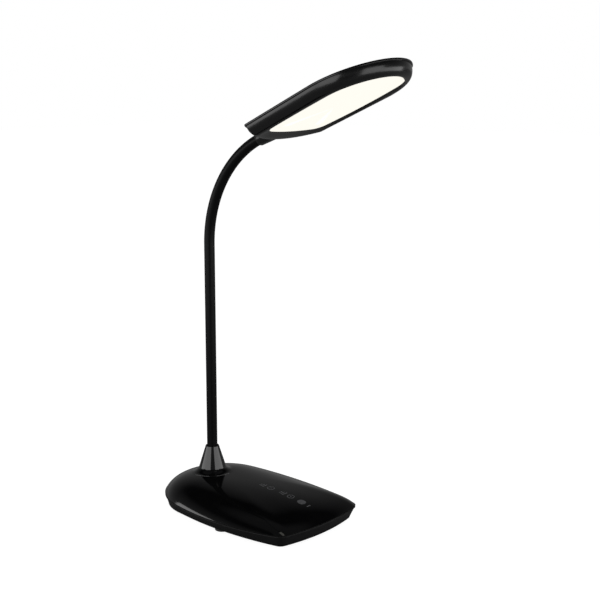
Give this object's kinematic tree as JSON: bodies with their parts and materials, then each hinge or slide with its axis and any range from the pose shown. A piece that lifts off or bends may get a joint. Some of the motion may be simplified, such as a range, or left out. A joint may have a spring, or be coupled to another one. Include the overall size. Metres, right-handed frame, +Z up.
{
  "type": "gooseneck desk lamp",
  "caption": "Desk lamp with a flat domed base with touch controls, a flexible neck that rises from a conical collar, and a flat panel head lit from below.",
  "frame": {"origin": "on the plane that the feet stand on, under the axis of the neck's straight part", "axes": "+Z up along the neck's straight part, +X to the lamp's front, over which the head hangs, +Y to its left"},
  "size_m": [0.2633, 0.1236, 0.4246],
  "materials": {
    "gloss_black": "high gloss",
    "collar_black": "high gloss",
    "tray_grey": "satin",
    "foot_rubber": "matt",
    "iron": "as cast",
    "screw_steel": "zinc plated",
    "inner_plastic": "matt",
    "cell_foil": "foil pouch",
    "board_green": "glass laminate",
    "chip_black": "matt",
    "spring_steel": "plated",
    "mark_grey": "printed",
    "socket_black": "matt",
    "contact_brass": "bright",
    "wire_jacket": "soft jacket",
    "ferrule_brass": "turned",
    "sleeve_black": "satin",
    "conduit_steel": "wound strip",
    "diffuser_white": "opal",
    "reflector_white": "matt",
    "board_alu": "white solder mask",
    "led_yellow": "phosphor"
  },
  "bodies": {
    "base": {"base_cover": "gloss_black", "base_tray": "tray_grey", "anti_slip_feet": "foot_rubber", "counterweight": "iron", "weight_screws": "screw_steel", "cover_screws": "screw_steel", "battery_cradle": "inner_plastic", "battery_cell": "cell_foil", "control_board": "board_green", "board_parts": "chip_black", "board_screws": "screw_steel", "touch_springs": "spring_steel", "touch_marks": "mark_grey", "dc_inlet": "socket_black", "inlet_contacts": "contact_brass", "base_wires": "wire_jacket", "neck_collar": "collar_black", "lower_ferrule": "ferrule_brass", "lock_washer": "screw_steel", "lock_nut": "screw_steel", "neck_sleeve_0": "sleeve_black", "neck_coil_0": "conduit_steel"},
    "neck_link_1": {"neck_sleeve_1": "sleeve_black", "neck_coil_1": "conduit_steel", "neck_lead_1": "wire_jacket"},
    "neck_link_2": {"neck_sleeve_2": "sleeve_black", "neck_coil_2": "conduit_steel", "neck_lead_2": "wire_jacket"},
    "neck_link_3": {"neck_sleeve_3": "sleeve_black", "neck_coil_3": "conduit_steel", "neck_lead_3": "wire_jacket"},
    "neck_link_4": {"neck_sleeve_4": "sleeve_black", "neck_coil_4": "conduit_steel", "neck_lead_4": "wire_jacket"},
    "neck_link_5": {"neck_sleeve_5": "sleeve_black", "neck_coil_5": "conduit_steel", "neck_lead_5": "wire_jacket"},
    "neck_link_6": {"neck_sleeve_6": "sleeve_black", "neck_coil_6": "conduit_steel", "neck_lead_6": "wire_jacket"},
    "neck_link_7": {"neck_sleeve_7": "sleeve_black", "neck_coil_7": "conduit_steel", "neck_lead_7": "wire_jacket"},
    "neck_link_8": {"neck_sleeve_8": "sleeve_black", "neck_coil_8": "conduit_steel", "neck_lead_8": "wire_jacket"},
    "head": {"head_lower_shell": "gloss_black", "head_top_shell": "gloss_black", "diffuser": "diffuser_white", "reflector_tray": "reflector_white", "led_board": "board_alu", "led_chips": "led_yellow", "led_board_screws": "screw_steel", "upper_ferrule": "ferrule_brass", "upper_nut": "screw_steel", "head_wires": "wire_jacket", "neck_sleeve_9": "sleeve_black", "neck_coil_9": "conduit_steel"}
  },
  "joints": [
    {"name": "lower_bend_1", "type": "hinge", "parent": "base", "child": "neck_link_1", "pos_m": [0, 0, 0.07706], "axis": [0, 1, 0], "range_deg": [-15, 12]},
    {"name": "side_lean_1", "type": "hinge", "parent": "neck_link_1", "child": "neck_link_2", "pos_m": [0, 0, 0.1091], "axis": [1, 0, 0], "range_deg": [-15, 15]},
    {"name": "lower_bend_2", "type": "hinge", "parent": "neck_link_2", "child": "neck_link_3", "pos_m": [0, 0, 0.14114], "axis": [0, 1, 0], "range_deg": [-15, 12]},
    {"name": "side_lean_2", "type": "hinge", "parent": "neck_link_3", "child": "neck_link_4", "pos_m": [0, 0, 0.17285], "axis": [1, 0, 0], "range_deg": [-15, 15]},
    {"name": "lower_bend_3", "type": "hinge", "parent": "neck_link_4", "child": "neck_link_5", "pos_m": [0, 0, 0.20488], "axis": [0, 1, 0], "range_deg": [-15, 12]},
    {"name": "upper_bend_1", "type": "hinge", "parent": "neck_link_5", "child": "neck_link_6", "pos_m": [0, 0, 0.24307], "axis": [0, 1, 0], "range_deg": [-16.5, 15]},
    {"name": "upper_bend_2", "type": "hinge", "parent": "neck_link_6", "child": "neck_link_7", "pos_m": [0.00294, 0, 0.27876], "axis": [0, 1, 0], "range_deg": [-16.5, 15]},
    {"name": "upper_bend_3", "type": "hinge", "parent": "neck_link_7", "child": "neck_link_8", "pos_m": [0.0167, 0, 0.31177], "axis": [0, 1, 0], "range_deg": [-16.5, 15]},
    {"name": "upper_bend_4", "type": "hinge", "parent": "neck_link_8", "child": "head", "pos_m": [0.04057, 0, 0.33882], "axis": [0, 1, 0], "range_deg": [-16.5, 15]}
  ],
  "couplings": [
    {"joint": "lower_bend_2", "follows": "lower_bend_1", "ratio": 1},
    {"joint": "side_lean_2", "follows": "side_lean_1", "ratio": 1},
    {"joint": "lower_bend_3", "follows": "lower_bend_1", "ratio": 1},
    {"joint": "upper_bend_2", "follows": "upper_bend_1", "ratio": 1},
    {"joint": "upper_bend_3", "follows": "upper_bend_1", "ratio": 1},
    {"joint": "upper_bend_4", "follows": "upper_bend_1", "ratio": 1}
  ]
}
